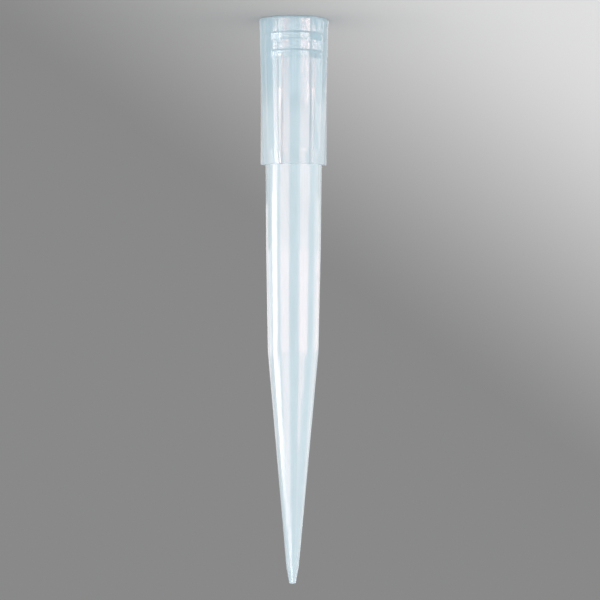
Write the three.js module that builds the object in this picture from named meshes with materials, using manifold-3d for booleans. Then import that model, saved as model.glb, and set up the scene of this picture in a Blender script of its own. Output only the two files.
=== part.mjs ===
// Pipette tip for volumes up to 1000 microlitres: one injection moulding in pale blue, translucent
// polypropylene, hollow from end to end.
//
// Millimetres, +Z up. A loose tip is stood on its wide rim, so z = 0 is the face of the rim, the Z axis is
// the tip's own axis and the orifice points up.
//
// From the rim to the orifice the tip has a collar with ribs outside and two sealing rings inside, a step
// that hangs it in a rack, a body in two drafts that meet at the half-volume line, a long nose and a bevel.

import * as THREE from "three";
import { mergeVertices, toCreasedNormals } from "three/addons/utils/BufferGeometryUtils.js";
import Module from "manifold-3d";

const wasm = await Module();
wasm.setup();

// ---- Driving dimensions, in millimetres and degrees ----

// Sections along the axis, in order from the rim
const collarLength = 18.3;
const upperBodyLength = 10.7;
const lowerBodyLength = 12.8;
const noseLength = 27.1;
const bevelLength = 2.1;

// Rim and collar, outside
const rimRadius = 4.355;
const rimRound = 0.12;
const lipHeight = 1.3;
const lipFlare = 0.035;
const collarTaper = 1.24;
const shoulderRound = 0.06;

// Ribs that run down the collar, and the relieved wall between them
const ribCount = 6;
const ribFaceWidth = 0.35;
const ribFootWidth = 0.89;
const ribRadius = 4.15;
const ribTop = 8.8;
const ribRamp = 0.15;
const reliefTop = 4.6;
const reliefDepth = 0.28;

// Body, nose and orifice, outside
const bodyRadius = 3.55;
const bodyFillet = 0.1;
const upperBodyDraft = 0.5;
const lowerBodyDraft = 1.12;
const bevelAngle = 10.3;
const orificeWall = 0.14;

// Socket that grips the pipette's nose cone
const socketWall = 0.57;
const socketTaper = 1.67;
const socketLength = 16.6;
const leadInWidth = 0.12;
const leadInHeight = 0.15;

// Sealing rings: a steep flank on the side of the rim, a long ramp and a short foot
const sealCount = 2;
const sealStart = 1.82;
const sealPitch = 2.23;
const sealHeight = 0.95;
const sealRise = 0.13;
const sealFlank = 0.12;
const sealRamp = 7;
const sealFoot = 0.12;

// Bore below the socket
const socketFloorHeight = 1.8;
const bodyWall = 0.6;
const orificeRadius = 0.27;

// Facets
const sides = 72;
const roundSteps = 3;
const creaseAngle = 25;

// ---- Stations along the axis ----

const halfVolumeZ = collarLength + upperBodyLength;
const noseZ = halfVolumeZ + lowerBodyLength;
const bevelZ = noseZ + noseLength;
const tipZ = bevelZ + bevelLength;

const slope = (degrees) => Math.tan(THREE.MathUtils.degToRad(degrees));

const collarRadiusAt = (z) => rimRadius - lipFlare - slope(collarTaper) * z;
const socketRadiusAt = (z) => collarRadiusAt(0) - socketWall - slope(socketTaper) * z;

const halfVolumeRadius = bodyRadius - slope(upperBodyDraft) * upperBodyLength;
const noseRadius = halfVolumeRadius - slope(lowerBodyDraft) * lowerBodyLength;
const tipRadius = orificeRadius + orificeWall;
const bevelRadius = tipRadius + slope(bevelAngle) * bevelLength;
const reliefRadius = collarRadiusAt(ribTop) - reliefDepth;

/** Radius of the relieved wall between the ribs. */
function wallRadiusAt(z) {
  const share = (z - reliefTop) / (collarLength - shoulderRound - reliefTop);
  return THREE.MathUtils.lerp(collarRadiusAt(reliefTop), reliefRadius, share);
}

// ---- Profiles: points of radius and height, in order round the section ----

const at = (radius, z) => new THREE.Vector2(radius, z);

/** A quarter of a circle round a centre, from one angle to another in degrees. */
function quarterRound(radius, z, size, from, to) {
  const points = [];
  for (let step = 0; step <= roundSteps; step++) {
    const angle = THREE.MathUtils.degToRad(THREE.MathUtils.lerp(from, to, step / roundSteps));
    points.push(at(radius + size * Math.cos(angle), z + size * Math.sin(angle)));
  }
  return points;
}

/** Rim, lip, tapered collar and the relieved wall down to the step. */
function collarProfile() {
  const edge = rimRadius - rimRound;
  return [
    at(0, 0),
    ...quarterRound(edge, rimRound, rimRound, -90, 0),
    at(collarRadiusAt(lipHeight), lipHeight),
    at(collarRadiusAt(reliefTop), reliefTop),
    ...quarterRound(reliefRadius - shoulderRound, collarLength - shoulderRound, shoulderRound, 0, 90),
  ];
}

/** From the foot of the step to the orifice. */
function bodyProfile() {
  return [
    ...quarterRound(bodyRadius + bodyFillet, collarLength + bodyFillet, bodyFillet, -90, -180),
    at(halfVolumeRadius, halfVolumeZ),
    at(noseRadius, noseZ),
    at(bevelRadius, bevelZ),
    at(tipRadius, tipZ),
    at(0, tipZ),
  ];
}

/** One sealing ring, which stands into the socket and seals on its crest. */
function sealRing(start) {
  const crest = start + sealFlank;
  const end = start + sealHeight;
  const foot = end - sealFoot;
  const crestRadius = socketRadiusAt(crest) - sealRise;
  return [
    at(socketRadiusAt(start), start),
    at(crestRadius, crest),
    at(crestRadius + slope(sealRamp) * (foot - crest), foot),
    at(socketRadiusAt(end), end),
  ];
}

/** The whole bore, which runs past both ends of the tip. */
function boreProfile() {
  const overrun = 1;
  const noseBoreRadius = noseRadius - bodyWall;
  const boreTaper = (noseBoreRadius - orificeRadius) / (tipZ - noseZ);
  const floorZ = socketLength + socketFloorHeight;
  const mouthRadius = socketRadiusAt(leadInHeight) + leadInWidth;
  const leadInSlope = leadInWidth / leadInHeight;
  const seals = Array.from({ length: sealCount }, (_, i) => sealRing(sealStart + sealPitch * i));
  return [
    at(0, -overrun),
    at(mouthRadius + leadInSlope * overrun, -overrun),
    at(socketRadiusAt(leadInHeight), leadInHeight),
    ...seals.flat(),
    at(socketRadiusAt(socketLength), socketLength),
    at(bodyRadius - bodyWall, floorZ),
    at(halfVolumeRadius - bodyWall, halfVolumeZ),
    at(noseBoreRadius, noseZ),
    at(orificeRadius - boreTaper * overrun, tipZ + overrun),
    at(0, tipZ + overrun),
  ];
}

// ---- Solids ----

/** A closed geometry as a solid that can be joined and cut. Triangles that shrink to a line are left out. */
function toSolid(geometry) {
  geometry.deleteAttribute("normal");
  geometry.deleteAttribute("uv");
  const merged = mergeVertices(geometry);
  const index = merged.index.array;
  const triangles = [];
  for (let i = 0; i < index.length; i += 3) {
    const [a, b, c] = index.subarray(i, i + 3);
    if (a !== b && b !== c && c !== a) triangles.push(a, b, c);
  }
  const mesh = new wasm.Mesh({
    numProp: 3,
    vertProperties: new Float32Array(merged.attributes.position.array),
    triVerts: new Uint32Array(triangles),
  });
  return new wasm.Manifold(mesh);
}

/** Turns a profile that starts and ends on the axis into a solid round Z. */
function revolve(profile) {
  return toSolid(new THREE.LatheGeometry(profile, sides).rotateX(Math.PI / 2));
}

/** A rib's section across the tip: a flat face, and a flank on each side that runs out on the wall. */
function ribSection(z, faceRadius, wallRadius) {
  const foot = ribFootWidth / 2;
  const footX = Math.sqrt(wallRadius ** 2 - foot ** 2) * Math.cos(Math.PI / sides);
  const half = [
    [0, foot, z],
    [footX, foot, z],
    [faceRadius, ribFaceWidth / 2, z],
  ];
  return [...half, ...half.map(([x, y]) => [x, -y, z])];
}

/** Ribs evenly spaced round the collar. Each follows the collar down to its top and is then straight. */
function makeRibs() {
  const stations = [
    [reliefTop, collarRadiusAt(reliefTop), wallRadiusAt(reliefTop)],
    [ribTop, collarRadiusAt(ribTop), wallRadiusAt(ribTop)],
    [ribTop + ribRamp, ribRadius, wallRadiusAt(ribTop + ribRamp)],
    [collarLength - shoulderRound, ribRadius, reliefRadius],
    [collarLength, ribRadius - shoulderRound, reliefRadius - shoulderRound],
  ];
  const sections = stations.map((station) => ribSection(...station));
  const rib = wasm.Manifold.union(
    sections.slice(1).map((section, i) => wasm.Manifold.hull([...sections[i], ...section])),
  );
  return wasm.Manifold.union(
    Array.from({ length: ribCount }, (_, i) => rib.rotate([0, 0, (i * 360) / ribCount])),
  );
}

/** A solid as a geometry, smooth on its round faces and sharp at its edges. */
function toGeometry(solid) {
  const { numProp, vertProperties, triVerts } = solid.getMesh();
  const geometry = new THREE.BufferGeometry();
  geometry.setAttribute("position", new THREE.BufferAttribute(new Float32Array(vertProperties), numProp));
  geometry.setIndex(new THREE.BufferAttribute(new Uint32Array(triVerts), 1));
  return toCreasedNormals(geometry, THREE.MathUtils.degToRad(creaseAngle));
}

// ---- The tip ----

const polypropylene = new THREE.MeshStandardMaterial({
  color: 0xd3e2ec,
  roughness: 0.25,
  metalness: 0,
  transparent: true,
  opacity: 0.7,
});

const outside = revolve([...collarProfile(), ...bodyProfile()]);
const moulding = outside.add(makeRibs()).subtract(revolve(boreProfile()));

const tip = new THREE.Mesh(toGeometry(moulding), polypropylene);
tip.name = "pipette_tip";

const model = new THREE.Group();
model.add(tip);

export default model;
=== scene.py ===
"""Pipette tip: a fine mesh, translucent polypropylene, soft boxes, a graded backdrop and a camera.

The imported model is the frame. The tip stands on its rim at z = 0 with its orifice up, and the camera looks
at it level and upside down, so that the picture shows it point down. Everything is in metres.
"""

import math

import bpy
from mathutils import Matrix, Vector


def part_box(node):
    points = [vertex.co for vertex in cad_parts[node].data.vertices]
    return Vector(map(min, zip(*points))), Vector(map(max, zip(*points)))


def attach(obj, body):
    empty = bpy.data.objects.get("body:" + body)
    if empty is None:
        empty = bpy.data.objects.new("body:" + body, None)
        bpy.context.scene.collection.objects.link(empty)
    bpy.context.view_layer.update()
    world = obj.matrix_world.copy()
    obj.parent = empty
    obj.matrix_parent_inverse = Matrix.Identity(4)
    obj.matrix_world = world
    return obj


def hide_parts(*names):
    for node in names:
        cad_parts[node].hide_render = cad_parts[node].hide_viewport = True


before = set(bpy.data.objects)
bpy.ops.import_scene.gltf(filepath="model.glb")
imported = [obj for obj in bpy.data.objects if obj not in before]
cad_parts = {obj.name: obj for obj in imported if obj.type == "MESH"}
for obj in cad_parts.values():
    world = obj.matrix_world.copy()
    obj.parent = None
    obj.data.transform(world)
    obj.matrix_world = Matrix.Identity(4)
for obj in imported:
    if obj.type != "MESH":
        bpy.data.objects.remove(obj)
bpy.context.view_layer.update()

MM = 0.001
NODE = "pipette_tip"

# ---- Sizes of the moulding, in millimetres and degrees, as in the part's source ----

COLLAR_LENGTH = 18.3
UPPER_BODY_LENGTH = 10.7
LOWER_BODY_LENGTH = 12.8
BEVEL_LENGTH = 2.1
TIP_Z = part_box(NODE)[1][2] / MM
HALF_VOLUME_Z = COLLAR_LENGTH + UPPER_BODY_LENGTH
NOSE_Z = HALF_VOLUME_Z + LOWER_BODY_LENGTH
BEVEL_Z = TIP_Z - BEVEL_LENGTH

RIM_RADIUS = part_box(NODE)[1][0] / MM
RIM_ROUND = 0.12
LIP_HEIGHT = 1.3
LIP_FLARE = 0.035
COLLAR_TAPER = 1.24
SHOULDER_ROUND = 0.06

RIB_COUNT = 6
RIB_FACE_WIDTH = 0.35
RIB_FOOT_WIDTH = 0.89
RIB_RADIUS = 4.15
RIB_TOP = 8.8
RIB_RAMP = 0.15
RELIEF_TOP = 4.6
RELIEF_DEPTH = 0.28

BODY_RADIUS = 3.55
BODY_FILLET = 0.1
UPPER_BODY_DRAFT = 0.5
LOWER_BODY_DRAFT = 1.12
BEVEL_ANGLE = 10.3
ORIFICE_WALL = 0.14
ORIFICE_ROUND = 0.05
LIP_ROUND = 0.3
SEAL_ROUND = 0.05
SUPPORT = 0.04
LONGEST_SPAN = 1.5

# Points past a profile's ends, which give its first and last corners their direction
FOOT_GUIDE = 0.2
SOCKET_GUIDE = 10.0
SEAL_GUIDE = 0.1

SOCKET_WALL = 0.57
SOCKET_TAPER = 1.67
SOCKET_LENGTH = 16.6
LEAD_IN_WIDTH = 0.12
LEAD_IN_HEIGHT = 0.15
SEAL_STARTS = (1.82, 4.05)
SEAL_HEIGHT = 0.95
SEAL_RISE = 0.13
SEAL_FLANK = 0.12
SEAL_RAMP = 7.0
SEAL_FOOT = 0.12

SOCKET_FLOOR_HEIGHT = 1.8
BODY_WALL = 0.6
ORIFICE_RADIUS = 0.27


def slope(degrees):
    return math.tan(math.radians(degrees))


def collar_radius(z):
    return RIM_RADIUS - LIP_FLARE - slope(COLLAR_TAPER) * z


def socket_radius(z):
    return collar_radius(0) - SOCKET_WALL - slope(SOCKET_TAPER) * z


HALF_VOLUME_RADIUS = BODY_RADIUS - slope(UPPER_BODY_DRAFT) * UPPER_BODY_LENGTH
NOSE_RADIUS = HALF_VOLUME_RADIUS - slope(LOWER_BODY_DRAFT) * LOWER_BODY_LENGTH
TIP_RADIUS = ORIFICE_RADIUS + ORIFICE_WALL
BEVEL_RADIUS = TIP_RADIUS + slope(BEVEL_ANGLE) * BEVEL_LENGTH
RELIEF_RADIUS = collar_radius(RIB_TOP) - RELIEF_DEPTH


# ---- The moulding's mesh: rings of points round the axis, outside first and then up the bore ----


def rounded(points, sizes, steps=5):
    """A profile with some of its corners rounded off by a smooth curve that starts `size` from the corner."""
    out = []
    for i, (point, size) in enumerate(zip(points, sizes)):
        if not size or i in (0, len(points) - 1):
            out.append(point)
            continue
        corner = Vector(point)
        before, after = Vector(points[i - 1]), Vector(points[i + 1])
        start = corner + (before - corner).normalized() * size
        end = corner + (after - corner).normalized() * size
        for k in range(steps + 1):
            t = k / steps
            p = start * (1 - t) ** 2 + corner * 2 * t * (1 - t) + end * t**2
            out.append((p.x, p.y))
    return out


def smooth_step(x):
    x = min(max(x, 0.0), 1.0)
    return x * x * (3 - 2 * x)


def relief_at(z):
    """Radius of the collar's wall between the ribs."""
    if z <= RELIEF_TOP:
        return collar_radius(z)
    share = (z - RELIEF_TOP) / (COLLAR_LENGTH - RELIEF_TOP)
    return collar_radius(RELIEF_TOP) * (1 - share) + RELIEF_RADIUS * share


def rib_at(z):
    """Radius over a rib: it follows the collar down to the rib's top and is then straight."""
    if z <= RIB_TOP:
        return collar_radius(z)
    ramp = smooth_step((z - RIB_TOP) / RIB_RAMP)
    return collar_radius(RIB_TOP) * (1 - ramp) + RIB_RADIUS * ramp


RIB_PITCH = 2 * math.pi / RIB_COUNT
FACE_ANGLE = math.asin(RIB_FACE_WIDTH / 2 / RIB_RADIUS)
FOOT_ANGLE = math.asin(RIB_FOOT_WIDTH / 2 / RIB_RADIUS)


def off_rib(angle):
    """Angle to the middle of the nearest rib."""
    return abs((angle + RIB_PITCH / 2) % RIB_PITCH - RIB_PITCH / 2)


def rib_share(angle):
    """1 on the face of a rib, 0 between ribs, and a soft slope down the flanks."""
    return 1 - smooth_step((off_rib(angle) - FACE_ANGLE) / (FOOT_ANGLE - FACE_ANGLE))


def column_angles():
    """Angles of the mesh's columns: close together on the ribs' flanks and even elsewhere."""
    face, flank, wall = 2, 7, 16
    half = [FACE_ANGLE * i / face for i in range(face)]
    half += [FACE_ANGLE + (FOOT_ANGLE - FACE_ANGLE) * i / flank for i in range(flank)]
    half += [FOOT_ANGLE + (RIB_PITCH / 2 - FOOT_ANGLE) * i / wall for i in range(wall)]
    sector = half + [RIB_PITCH / 2] + [RIB_PITCH - a for a in reversed(half[1:])]
    return [a + k * RIB_PITCH for k in range(RIB_COUNT) for a in sector]


def collar_rows():
    """Rings down the outside of the collar: height, radius between the ribs and radius over a rib."""
    rows = []
    for k in range(7):
        angle = math.radians(90 * k / 6)
        radius = RIM_RADIUS - RIM_ROUND + RIM_ROUND * math.sin(angle)
        rows.append((RIM_ROUND * (1 - math.cos(angle)), radius, radius))
    corners = [(RIM_ROUND, RIM_RADIUS)]
    corners += [(z, collar_radius(z)) for z in (LIP_HEIGHT, RELIEF_TOP)]
    lip = rounded(corners, [0, LIP_ROUND, 0])
    rows += [(z, r, r) for z, r in lip[1:-1]]
    ramp_steps, straight_steps = 6, 10
    heights = [RELIEF_TOP + (RIB_TOP - RELIEF_TOP) * k / 6 for k in range(6)]
    heights += [RIB_TOP + RIB_RAMP * k / ramp_steps for k in range(ramp_steps)]
    top = RIB_TOP + RIB_RAMP
    straight = COLLAR_LENGTH - SHOULDER_ROUND - top
    heights += [top + straight * k / straight_steps for k in range(straight_steps)]
    rows += [(z, relief_at(z), rib_at(z)) for z in heights]
    for k in range(5):
        angle = math.radians(90 * k / 4)
        z = COLLAR_LENGTH - SHOULDER_ROUND * (1 - math.sin(angle))
        drop = SHOULDER_ROUND * (1 - math.cos(angle))
        rows.append((z, RELIEF_RADIUS - drop, RIB_RADIUS - drop))
    return rows


def body_rows():
    """Rings from the foot of the step, over the body, nose and bevel and into the orifice."""
    # Height, radius and reach of the rounding. The first and last corners only give a direction.
    corners = [
        (COLLAR_LENGTH, BODY_RADIUS + FOOT_GUIDE, 0),
        (COLLAR_LENGTH, BODY_RADIUS, BODY_FILLET),
        (HALF_VOLUME_Z, HALF_VOLUME_RADIUS, 0.1),
        (NOSE_Z, NOSE_RADIUS, 0.5),
        (BEVEL_Z, BEVEL_RADIUS, 0.25),
        (TIP_Z, TIP_RADIUS, ORIFICE_ROUND),
        (TIP_Z, ORIFICE_RADIUS, 0.03),
        (NOSE_Z, NOSE_RADIUS - BODY_WALL, 0.5),
        (HALF_VOLUME_Z, HALF_VOLUME_RADIUS - BODY_WALL, 0.35),
        (SOCKET_LENGTH + SOCKET_FLOOR_HEIGHT, BODY_RADIUS - BODY_WALL, 0.3),
        (SOCKET_LENGTH, socket_radius(SOCKET_LENGTH), 0.3),
        (SOCKET_GUIDE, socket_radius(SOCKET_GUIDE), 0),
    ]
    points = [(z, r) for z, r, _ in corners]
    sizes = [reach for _, _, reach in corners]
    return [(z, r, r) for z, r in rounded(points, sizes)[1:-1]]


def seal_rows():
    """Rings up the socket, over the sealing rings and out of the mouth to the rim's face."""
    rows = []
    sizes = [0, SEAL_ROUND, SEAL_ROUND, SEAL_ROUND, 0.03, 0]
    for start in reversed(SEAL_STARTS):
        end = start + SEAL_HEIGHT
        crest, back = start + SEAL_FLANK, end - SEAL_FOOT
        crest_radius = socket_radius(crest) - SEAL_RISE
        points = [
            (end + SEAL_GUIDE, socket_radius(end + SEAL_GUIDE)),
            (end, socket_radius(end)),
            (back, crest_radius + slope(SEAL_RAMP) * (back - crest)),
            (crest, crest_radius),
            (start, socket_radius(start)),
            (start - SEAL_GUIDE, socket_radius(start - SEAL_GUIDE)),
        ]
        rows += [(z, r, r) for z, r in rounded(points, sizes)[1:-1]]
    mouth = socket_radius(LEAD_IN_HEIGHT)
    points = [
        (SEAL_STARTS[0] - SEAL_GUIDE, socket_radius(SEAL_STARTS[0] - SEAL_GUIDE)),
        (LEAD_IN_HEIGHT, mouth),
        (0, mouth + LEAD_IN_WIDTH),
        (0, RIM_RADIUS - RIM_ROUND),
    ]
    rows += [(z, r, r) for z, r in rounded(points, [0, SEAL_ROUND, SEAL_ROUND, 0])[1:-1]]
    return rows


def with_support(rows):
    """Adds rings close to both ends of each long stretch, which keep its shading flat, and some between."""
    out = []
    for here, there in zip(rows, rows[1:]):
        out.append(here)
        length = math.hypot(there[0] - here[0], there[1] - here[1])
        if length < 4 * SUPPORT:
            continue
        steps = max(1, round(length / LONGEST_SPAN))
        shares = [SUPPORT / length, *(k / steps for k in range(1, steps)), 1 - SUPPORT / length]
        for share in shares:
            out.append(tuple(a * (1 - share) + b * share for a, b in zip(here, there)))
    return [*out, rows[-1]]


COLLAR, BODY, CHAMBER, SOCKET, RIB, FLANK = range(6)


def zone_between(here, there, off):
    """Which of the moulding's surfaces a face belongs to, from its rings' heights and its angle to a rib."""
    if there < here - 1e-6:
        if here <= LEAD_IN_HEIGHT + SUPPORT:
            return COLLAR
        return SOCKET if here < SOCKET_LENGTH + SOCKET_FLOOR_HEIGHT else CHAMBER
    if here >= COLLAR_LENGTH:
        return BODY
    if off < FACE_ANGLE:
        return RIB if here >= RIB_TOP else COLLAR
    return FLANK if off < FOOT_ANGLE and here >= RELIEF_TOP else COLLAR


def make_moulding():
    angles = column_angles()
    shares = [rib_share(a) for a in angles]
    rows = with_support(collar_rows() + body_rows() + seal_rows())
    verts = []
    for z, between, over in rows:
        for angle, share in zip(angles, shares):
            r = (between * (1 - share) + over * share) * MM
            verts.append((r * math.cos(angle), r * math.sin(angle), z * MM))
    n, m = len(rows), len(angles)
    faces, zones = [], []
    for i in range(n):
        below, above = i * m, (i + 1) % n * m
        here, there = rows[i][0], rows[(i + 1) % n][0]
        for j in range(m):
            k = (j + 1) % m
            faces.append((below + j, below + k, above + k, above + j))
            off = (off_rib(angles[j]) + off_rib(angles[k])) / 2
            zones.append(zone_between(here, there, off))
    mesh = bpy.data.meshes.new("moulding")
    mesh.from_pydata(verts, [], faces)
    mesh.polygons.foreach_set("material_index", zones)
    mesh.update()
    mesh.shade_smooth()
    piece = bpy.data.objects.new("moulding", mesh)
    bpy.context.collection.objects.link(piece)
    return piece


# ---- Node helpers: each value is a number or another node's output ----


def new_tree(block):
    block.use_nodes = True
    block.node_tree.nodes.clear()
    return block.node_tree


def feed(tree, socket, value):
    if isinstance(value, (int, float, tuple)):
        socket.default_value = value
    else:
        tree.links.new(value, socket)


def add_math(tree, operation, *values):
    node = tree.nodes.new("ShaderNodeMath")
    node.operation = operation
    for socket, value in zip(node.inputs, values):
        feed(tree, socket, value)
    return node.outputs[0]


def add_mix(tree, factor, low, high):
    node = tree.nodes.new("ShaderNodeMix")
    for name, value in (("Factor", factor), ("A", low), ("B", high)):
        feed(tree, node.inputs[name], value)
    return node.outputs["Result"]


def add_tint(tree, factor, low, high):
    """A mix of two colours."""
    node = tree.nodes.new("ShaderNodeMix")
    node.data_type = "RGBA"
    feed(tree, [i for i in node.inputs if i.name == "Factor" and i.type == "VALUE"][0], factor)
    for name, value in (("A", low), ("B", high)):
        feed(tree, [i for i in node.inputs if i.name == name and i.type == "RGBA"][0], value)
    return [o for o in node.outputs if o.type == "RGBA"][0]


def add_range(tree, value, low, high, to_low=0.0, to_high=1.0):
    """A smooth step from one level to another as the value goes from low to high."""
    node = tree.nodes.new("ShaderNodeMapRange")
    node.interpolation_type = "SMOOTHSTEP"
    sockets = ("Value", "From Min", "From Max", "To Min", "To Max")
    for name, level in zip(sockets, (value, low, high, to_low, to_high)):
        feed(tree, node.inputs[name], level)
    return node.outputs["Result"]


def add_vector(tree, operation, *values):
    node = tree.nodes.new("ShaderNodeVectorMath")
    node.operation = operation
    for socket, value in zip(node.inputs, values):
        feed(tree, socket, value)
    return node.outputs["Vector"]


def noise_at(tree, place, detail=2.0):
    noise = tree.nodes.new("ShaderNodeTexNoise")
    noise.inputs["Scale"].default_value = 1.0
    noise.inputs["Detail"].default_value = detail
    tree.links.new(place, noise.inputs["Vector"])
    return noise.outputs["Fac"]


def add_noise(tree, size, length):
    """Noise with spots of a size in millimetres, drawn out along the tip's axis to a length."""
    place = tree.nodes.new("ShaderNodeTexCoord").outputs["Object"]
    across, along = 1 / (size * MM), 1 / (length * MM)
    return noise_at(tree, add_vector(tree, "MULTIPLY", place, (across, across, along)))


def add_flow_lines(tree, size, length):
    """Noise in lines that run straight along the moulding, with a size given at the rim's radius."""
    place = tree.nodes.new("ShaderNodeTexCoord").outputs["Object"]
    outward = add_vector(tree, "NORMALIZE", add_vector(tree, "MULTIPLY", place, (1.0, 1.0, 0.0)))
    around = RIM_RADIUS / size
    spread = add_vector(tree, "MULTIPLY", outward, (around, around, 0.0))
    along = add_vector(tree, "MULTIPLY", place, (0.0, 0.0, 1 / (length * MM)))
    return noise_at(tree, add_vector(tree, "ADD", spread, along))


def height_along(tree):
    """Height above the rim's face, in millimetres."""
    place = tree.nodes.new("ShaderNodeTexCoord")
    split = tree.nodes.new("ShaderNodeSeparateXYZ")
    tree.links.new(place.outputs["Object"], split.inputs[0])
    return add_math(tree, "DIVIDE", split.outputs["Z"], MM)


def shade(colour, factor):
    return (*(min(c * factor, 1.0) for c in colour), 1.0)


# ---- Materials: one polypropylene with a finish for each surface, and painted shade and light on some ----

COLLAR_COLOUR = (0.525, 0.69, 0.77)
# Painted light: the collar's paler tint deeper from the rim
COLLAR_PAINTED_LIGHT = (0.73, 0.85, 0.905)
RIB_COLOUR = (0.68, 0.81, 0.87)
# Painted shade on the ribs' flanks, darker near the rim and lighter further down
FLANK_PAINTED_SHADE = (0.46, 0.55, 0.60)
LOWER_FLANK_PAINTED_SHADE = (0.57, 0.67, 0.72)
BODY_COLOUR = (0.72, 0.85, 0.90)
LOWER_BODY_COLOUR = (0.72, 0.85, 0.905)
BORE_COLOUR = (0.57, 0.74, 0.82)
SOCKET_COLOUR = (0.365, 0.575, 0.66)
# Painted light: the socket's paler tint deeper from the rim
SOCKET_PAINTED_LIGHT = (0.41, 0.62, 0.70)
# Painted shade on the flanks of the socket's sealing rings
RING_FLANK_PAINTED_SHADE = (0.16, 0.28, 0.34)
COLLAR_ALPHA = 0.55
RIB_ALPHA = 0.5
FLANK_ALPHA = 0.6
BODY_ALPHA = 0.62
BORE_ALPHA = 0.8
RING_FLANK_SHADE_ALPHA = 0.95
SATIN = 0.4
GLOSS = 0.3
COLLAR_SPECULAR = 0.25
RIB_SPECULAR = 0.15
SOCKET_COAT_IOR = 2.8
RIB_COAT_IOR = 1.8

# Heights between which a surface's tint gets paler, in millimetres from the rim. On the collar and in the
# socket this is painted light, which offsets the shade that falls deeper in; on the rib flanks it thins their
# painted shade.
PAINTED_LIGHT_HEIGHTS = (7.0, 13.0)
FLANK_SHADE_FADE = (12.0, 16.0)
LINE_SOFTNESS = 0.05

PLASTIC_IOR = 1.49
COAT_IOR = 1.5
COAT_ROUGHNESS = 0.04
ALPHA_SPREAD = 0.03
ROUGHNESS_SPREAD = 0.05
STEEP = (0.25, 0.55)

# Noise: size and length of its spots in millimetres
CLOUD = (3.5, 9.0)
FLOW = (0.3, 60.0)
GRAIN = 0.12
GRAIN_SHARE = 0.05
COLLAR_STREAKS = 0.08
BUMP = 0.2
BUMP_DEPTH = 0.004


def polypropylene(name, colour, alpha, roughness, streaks=0.02, coat=1.0):
    """The plastic's shader. Its tint clouds and thins a little, and fine lines run along the moulding."""
    material = bpy.data.materials.new(name)
    tree = new_tree(material)
    out = tree.nodes.new("ShaderNodeOutputMaterial")
    shader = tree.nodes.new("ShaderNodeBsdfPrincipled")
    shader.inputs["IOR"].default_value = PLASTIC_IOR
    shader.inputs["Coat Weight"].default_value = coat
    shader.inputs["Coat Roughness"].default_value = COAT_ROUGHNESS
    shader.inputs["Coat IOR"].default_value = COAT_IOR
    cloud = add_range(tree, add_noise(tree, *CLOUD), 0.3, 0.7)
    flow = add_range(tree, add_flow_lines(tree, *FLOW), 0.3, 0.7)
    mottle = add_mix(tree, 0.5, cloud, flow)
    tint = add_tint(tree, mottle, shade(colour, 1 - streaks), shade(colour, 1 + streaks))
    tree.links.new(tint, shader.inputs["Base Color"])
    tree.links.new(add_mix(tree, cloud, alpha - ALPHA_SPREAD, alpha + ALPHA_SPREAD), shader.inputs["Alpha"])
    satin = add_mix(tree, flow, roughness - ROUGHNESS_SPREAD, roughness + ROUGHNESS_SPREAD)
    tree.links.new(satin, shader.inputs["Roughness"])
    bump = tree.nodes.new("ShaderNodeBump")
    bump.inputs["Strength"].default_value = BUMP
    bump.inputs["Distance"].default_value = BUMP_DEPTH * MM
    tree.links.new(add_mix(tree, GRAIN_SHARE, flow, add_noise(tree, GRAIN, GRAIN)), bump.inputs["Height"])
    tree.links.new(bump.outputs["Normal"], shader.inputs["Normal"])
    tree.links.new(shader.outputs["BSDF"], out.inputs["Surface"])
    return material, tree, shader


def lighten(tree, shader, colour, start, end):
    """Turns the tint to another colour between two heights."""
    plain = shader.inputs["Base Color"].links[0].from_socket
    share = add_range(tree, height_along(tree), start, end)
    tree.links.new(add_tint(tree, share, plain, shade(colour, 1)), shader.inputs["Base Color"])


def collar_plastic():
    material, tree, shader = polypropylene(
        "polypropylene_collar", COLLAR_COLOUR, COLLAR_ALPHA, SATIN, COLLAR_STREAKS, 0.0
    )
    shader.inputs["Specular IOR Level"].default_value = COLLAR_SPECULAR
    # The paler tint deeper from the rim is painted light, which offsets the shade deeper in the collar.
    lighten(tree, shader, COLLAR_PAINTED_LIGHT, *PAINTED_LIGHT_HEIGHTS)
    return material


def rib_plastic():
    material, _, shader = polypropylene("polypropylene_rib", RIB_COLOUR, RIB_ALPHA, GLOSS)
    shader.inputs["Coat IOR"].default_value = RIB_COAT_IOR
    shader.inputs["Specular IOR Level"].default_value = RIB_SPECULAR
    return material


def flank_plastic():
    """The slope along each side of a rib. Its dark tint is painted shade, which draws dark lines along the
    ribs' edges, and it is painted lighter further from the rim.
    """
    material, tree, shader = polypropylene(
        "polypropylene_flank", FLANK_PAINTED_SHADE, FLANK_ALPHA, SATIN, 0.05, 0.0
    )
    lighten(tree, shader, LOWER_FLANK_PAINTED_SHADE, *FLANK_SHADE_FADE)
    return material


def body_plastic():
    """The tint turns very slightly bluer below the half-volume line."""
    material, tree, shader = polypropylene("polypropylene_body", BODY_COLOUR, BODY_ALPHA, GLOSS)
    lighten(tree, shader, LOWER_BODY_COLOUR, HALF_VOLUME_Z - LINE_SOFTNESS, HALF_VOLUME_Z + LINE_SOFTNESS)
    return material


def chamber_plastic():
    return polypropylene("polypropylene_chamber", BORE_COLOUR, BORE_ALPHA, SATIN, 0.02, 0.0)[0]


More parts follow.
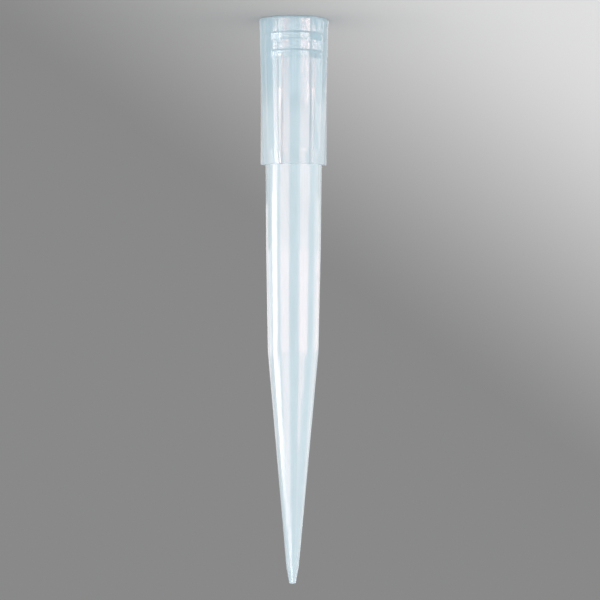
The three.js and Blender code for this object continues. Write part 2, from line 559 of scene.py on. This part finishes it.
def socket_plastic():
    """Steep faces in the socket, which are the flanks of its sealing rings, get painted shade: a darker, more
    opaque tint that draws the rings' dark lines.
    """
    material, tree, shader = polypropylene("polypropylene_socket", SOCKET_COLOUR, BORE_ALPHA, GLOSS)
    shader.inputs["Coat IOR"].default_value = SOCKET_COAT_IOR
    # The paler tint deeper from the rim is painted light, which offsets the shade deeper in the socket.
    lighten(tree, shader, SOCKET_PAINTED_LIGHT, *PAINTED_LIGHT_HEIGHTS)
    split = tree.nodes.new("ShaderNodeSeparateXYZ")
    tree.links.new(tree.nodes.new("ShaderNodeNewGeometry").outputs["True Normal"], split.inputs[0])
    ring_shade = add_range(tree, add_math(tree, "ABSOLUTE", split.outputs["Z"]), *STEEP)
    plain_tint = shader.inputs["Base Color"].links[0].from_socket
    tree.links.new(add_tint(tree, ring_shade, plain_tint, shade(RING_FLANK_PAINTED_SHADE, 1)), shader.inputs["Base Color"])
    plain_alpha = shader.inputs["Alpha"].links[0].from_socket
    tree.links.new(add_mix(tree, ring_shade, plain_alpha, RING_FLANK_SHADE_ALPHA), shader.inputs["Alpha"])
    return material


# ---- Floor, backdrop, light and camera ----

VIEW_AZIMUTH = 5.5
CAMERA_DISTANCE = 258 * MM
CAMERA_HEIGHT = 35.3 * MM
CAMERA_ASIDE = 0.85 * MM
LENS = 122.8
LEAN = 0.15

FILL_LIGHT = 1.2
TABLE_COLOUR = 0.8
DARK_TONE = 0.25
PALE_TONE = 0.77
TONE_ASIDE = 0.75
TONE_START = -0.024
TONE_CURVE = 1.41
TONE_GAIN = 5.33
TONE_SHOULDER = 6.0


def ground_axes():
    """Directions on the floor for the main view: from the tip to the camera, and to the picture's right."""
    a = math.radians(VIEW_AZIMUTH)
    return Vector((math.sin(a), -math.cos(a), 0)), Vector((-math.cos(a), -math.sin(a), 0))


def table_tone(tree, direction):
    """Grey of the table and backdrop, fixed in the world and laid out from the main camera's place.

    It is dark far away, and paler near the tip and to the main picture's right: a painted pool of light.
    """
    aside = tree.nodes.new("ShaderNodeVectorMath")
    aside.operation = "DOT_PRODUCT"
    tree.links.new(direction, aside.inputs[0])
    aside.inputs[1].default_value = ground_axes()[1]
    split = tree.nodes.new("ShaderNodeSeparateXYZ")
    tree.links.new(direction, split.inputs[0])
    down = add_math(tree, "MULTIPLY_ADD", split.outputs["Z"], -1.0, TONE_START)
    leaning = add_math(tree, "MULTIPLY_ADD", aside.outputs["Value"], TONE_ASIDE, down)
    reach = add_math(tree, "MAXIMUM", leaning, 0.0)
    rise = add_math(tree, "MULTIPLY", add_math(tree, "POWER", reach, TONE_CURVE), TONE_GAIN)
    most = PALE_TONE - DARK_TONE
    excess = add_math(tree, "POWER", add_math(tree, "DIVIDE", rise, most), TONE_SHOULDER)
    soft = add_math(tree, "POWER", add_math(tree, "ADD", excess, 1.0), -1 / TONE_SHOULDER)
    return add_math(tree, "MULTIPLY_ADD", rise, soft, DARK_TONE)


def make_floor():
    mesh = bpy.data.meshes.new("floor")
    half = 3.0
    mesh.from_pydata(
        [(-half, -half, 0), (half, -half, 0), (half, half, 0), (-half, half, 0)], [], [(0, 1, 2, 3)]
    )
    floor = bpy.data.objects.new("floor", mesh)
    bpy.context.collection.objects.link(floor)
    floor.visible_glossy = False
    floor.visible_shadow = False
    material = bpy.data.materials.new("floor")
    tree = new_tree(material)
    out = tree.nodes.new("ShaderNodeOutputMaterial")
    shader = tree.nodes.new("ShaderNodeBsdfDiffuse")
    place = tree.nodes.new("ShaderNodeNewGeometry")
    eye = ground_axes()[0] * CAMERA_DISTANCE + Vector((0, 0, CAMERA_HEIGHT))
    offset = add_vector(tree, "SUBTRACT", place.outputs["Position"], tuple(eye))
    direction = add_vector(tree, "NORMALIZE", offset)
    # What the camera sees on the floor is the painted pool of light from table_tone.
    tone = add_math(tree, "DIVIDE", table_tone(tree, direction), FILL_LIGHT)
    path = tree.nodes.new("ShaderNodeLightPath")
    bounced = add_math(tree, "MINIMUM", path.outputs["Diffuse Depth"], 1.0)
    tree.links.new(add_mix(tree, bounced, tone, TABLE_COLOUR), shader.inputs["Color"])
    tree.links.new(shader.outputs["BSDF"], out.inputs["Surface"])
    floor.data.materials.append(material)


def make_world():
    world = bpy.data.worlds.new("studio")
    bpy.context.scene.world = world
    world.cycles.sampling_method = "NONE"
    tree = new_tree(world)
    out = tree.nodes.new("ShaderNodeOutputWorld")
    fill = tree.nodes.new("ShaderNodeBackground")
    fill.inputs["Color"].default_value = (1, 1, 1, 1)
    fill.inputs["Strength"].default_value = FILL_LIGHT
    seen = tree.nodes.new("ShaderNodeBackground")
    place = tree.nodes.new("ShaderNodeTexCoord")
    # The backdrop that camera and gloss see carries the same painted pool of light.
    tree.links.new(table_tone(tree, place.outputs["Generated"]), seen.inputs["Color"])
    path = tree.nodes.new("ShaderNodeLightPath")
    mix = tree.nodes.new("ShaderNodeMixShader")
    tree.links.new(add_math(tree, "MINIMUM", path.outputs["Diffuse Depth"], 1.0), mix.inputs["Fac"])
    tree.links.new(seen.outputs["Background"], mix.inputs[1])
    tree.links.new(fill.outputs["Background"], mix.inputs[2])
    tree.links.new(mix.outputs["Shader"], out.inputs["Surface"])


def make_camera():
    towards, right = ground_axes()
    data = bpy.data.cameras.new("camera")
    data.lens = LENS
    data.sensor_width = 36
    data.clip_start, data.clip_end = 0.01, 20
    camera = bpy.data.objects.new("camera", data)
    bpy.context.collection.objects.link(camera)
    turn = Matrix.Rotation(math.radians(LEAN), 3, towards)
    x, y, z = turn @ right, turn @ Vector((0, 0, -1)), towards
    place = towards * CAMERA_DISTANCE + right * CAMERA_ASIDE + Vector((0, 0, CAMERA_HEIGHT))
    camera.matrix_world = Matrix(
        ((x.x, y.x, z.x, place.x), (x.y, y.y, z.y, place.y), (x.z, y.z, z.z, place.z), (0, 0, 0, 1))
    )
    bpy.context.scene.camera = camera


WHITE = (1, 0.92, 0.91)
PINK = (1, 0.55, 0.48)
ROSE = (1, 0.8, 0.75)
BLUSH = (1, 0.68, 0.63)
CREAM = (1, 0.83, 0.79)

# Upright soft boxes round the tip: name, first and last angle from the camera's side (positive to the
# picture's right), lowest and highest point in metres, radiance and colour
STRIPS = (
    ("key_strip", -101, -72, -0.003, 0.070, 9.0, CREAM),
    ("key_middle_strip", -102, -77, 0.070, 0.150, 9.5, CREAM),
    ("key_upper_strip", -99, -66, 0.150, 0.185, 10.0, CREAM),
    ("key_high_strip", -90, -58, 0.185, 0.202, 9.0, CREAM),
    ("key_top_strip", -80, -47, 0.202, 0.222, 8.0, CREAM),
    ("key_step_strip", -94, -70, -0.012, -0.003, 7.5, ROSE),
    ("key_rib_strip", -95, -67, -0.028, -0.012, 6.4, BLUSH),
    ("key_low_strip", -97, -70, -0.042, -0.028, 6.0, ROSE),
    ("key_foot_strip", -94, -68, -0.053, -0.042, 7.6, ROSE),
    ("front_low_strip", -19, 27, -0.075, -0.0165, 3.2, WHITE),
    ("front_ring_strip", -19, 27, -0.25, -0.19, 2.5, WHITE),
    ("left_strip", -56, -17.5, -0.0165, 0.120, 4.5, PINK),
    ("left_high_strip", -56, -18, 0.120, 0.202, 3.8, PINK),
    ("left_body_strip", -58, -18, 0.0305, 0.110, 2.4, BLUSH),
    ("left_top_strip", -47, -19, 0.202, 0.222, 3.8, PINK),
    ("left_low_strip", -45, -19, -0.075, -0.0165, 6.2, PINK),
    ("left_ring_strip", -64, -19, -0.25, -0.19, 5.0, ROSE),
    ("left_rib_strip", -64, -45, -0.075, -0.0165, 7.0, ROSE),
    ("left_edge_strip", -130, -108, 0.024, 0.110, 2.8, WHITE),
    ("left_edge_low_strip", -178, -150, -0.40, -0.022, 1.5, ROSE),
    ("right_body_strip", 22, 68, 0.0305, 0.110, 2.6, PINK),
    ("right_strip", 27, 66, -0.0165, 0.026, 3.6, PINK),
    ("right_middle_strip", 27, 66, 0.026, 0.150, 4.5, PINK),
    ("right_upper_strip", 27, 56, 0.150, 0.175, 4.5, PINK),
    ("right_high_strip", 27, 47, 0.175, 0.200, 4.0, PINK),
    ("right_low_strip", 27, 50, -0.075, -0.0165, 7.6, BLUSH),
    ("right_low_side_strip", 50, 66, -0.075, -0.0165, 9.5, BLUSH),
    ("right_ring_strip", 27, 66, -0.25, -0.19, 7.5, ROSE),
    ("right_rib_strip", 66, 77, -0.054, -0.0226, 1.4, PINK),
    ("right_step_strip", 66, 72, -0.0226, 0.004, 5.0, BLUSH),
    ("right_side_strip", 77, 105, -0.054, -0.026, 7.0, BLUSH),
    ("right_side_high_strip", 77, 105, -0.026, -0.0165, 2.2, BLUSH),
    ("right_edge_low_strip", 150, 178, -0.40, -0.021, 2.2, ROSE),
    ("right_edge_strip", 100, 150, 0.024, 0.075, 1.3, PINK),
    ("back_left_strip", -160, -130, -0.002, 0.090, 1.5, ROSE),
    ("back_left_high_strip", -160, -130, 0.090, 0.140, 0.8, ROSE),
    ("back_right_strip", 97, 134, -0.003, 0.160, 1.5, ROSE),
    ("back_right_high_strip", 97, 134, 0.160, 0.190, 1.0, ROSE),
    ("back_right_low_strip", 105, 140, -0.042, -0.021, 2.6, ROSE),
    ("back_right_rim_strip", 105, 140, -0.066, -0.042, 3.6, ROSE),
    ("low_panel", -108, -54, -0.28, -0.15, 8.2, WHITE),
    ("nose_panel", -60, -28, 0.222, 0.241, 7.5, CREAM),
    ("nose_high_panel", -46, -14, 0.241, 0.300, 8.0, CREAM),
    ("bevel_panel", -36, 4, 0.300, 0.450, 8.0, WHITE),
)
STRIP_DISTANCE = 0.6


def make_strip(name, start, end, low, high, radiance, colour):
    """An upright soft box. It shows in the gloss alone, because the world gives the even light."""
    towards, right = ground_axes()
    angle = math.radians((start + end) / 2)
    width = 2 * STRIP_DISTANCE * math.tan(math.radians(end - start) / 2)
    height = high - low
    data = bpy.data.lights.new(name, "AREA")
    data.shape = "RECTANGLE"
    data.size, data.size_y = width, height
    data.color = colour
    data.energy = radiance * math.pi * width * height
    strip = bpy.data.objects.new(name, data)
    bpy.context.collection.objects.link(strip)
    direction = towards * math.cos(angle) + right * math.sin(angle)
    across = Vector((0, 0, 1)).cross(direction)
    place = direction * STRIP_DISTANCE + Vector((0, 0, (low + high) / 2))
    strip.matrix_world = Matrix(
        (
            (across.x, 0, direction.x, place.x),
            (across.y, 0, direction.y, place.y),
            (across.z, 1, direction.z, place.z),
            (0, 0, 0, 1),
        )
    )
    strip.visible_camera = False
    strip.visible_diffuse = False


make_floor()
make_world()
make_camera()
for strip in STRIPS:
    make_strip(*strip)

moulding = make_moulding()
for make in (collar_plastic, body_plastic, chamber_plastic, socket_plastic, rib_plastic, flank_plastic):
    moulding.data.materials.append(make())
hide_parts(NODE)
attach(moulding, "root")

bpy.context.scene.view_settings.view_transform = "Standard"
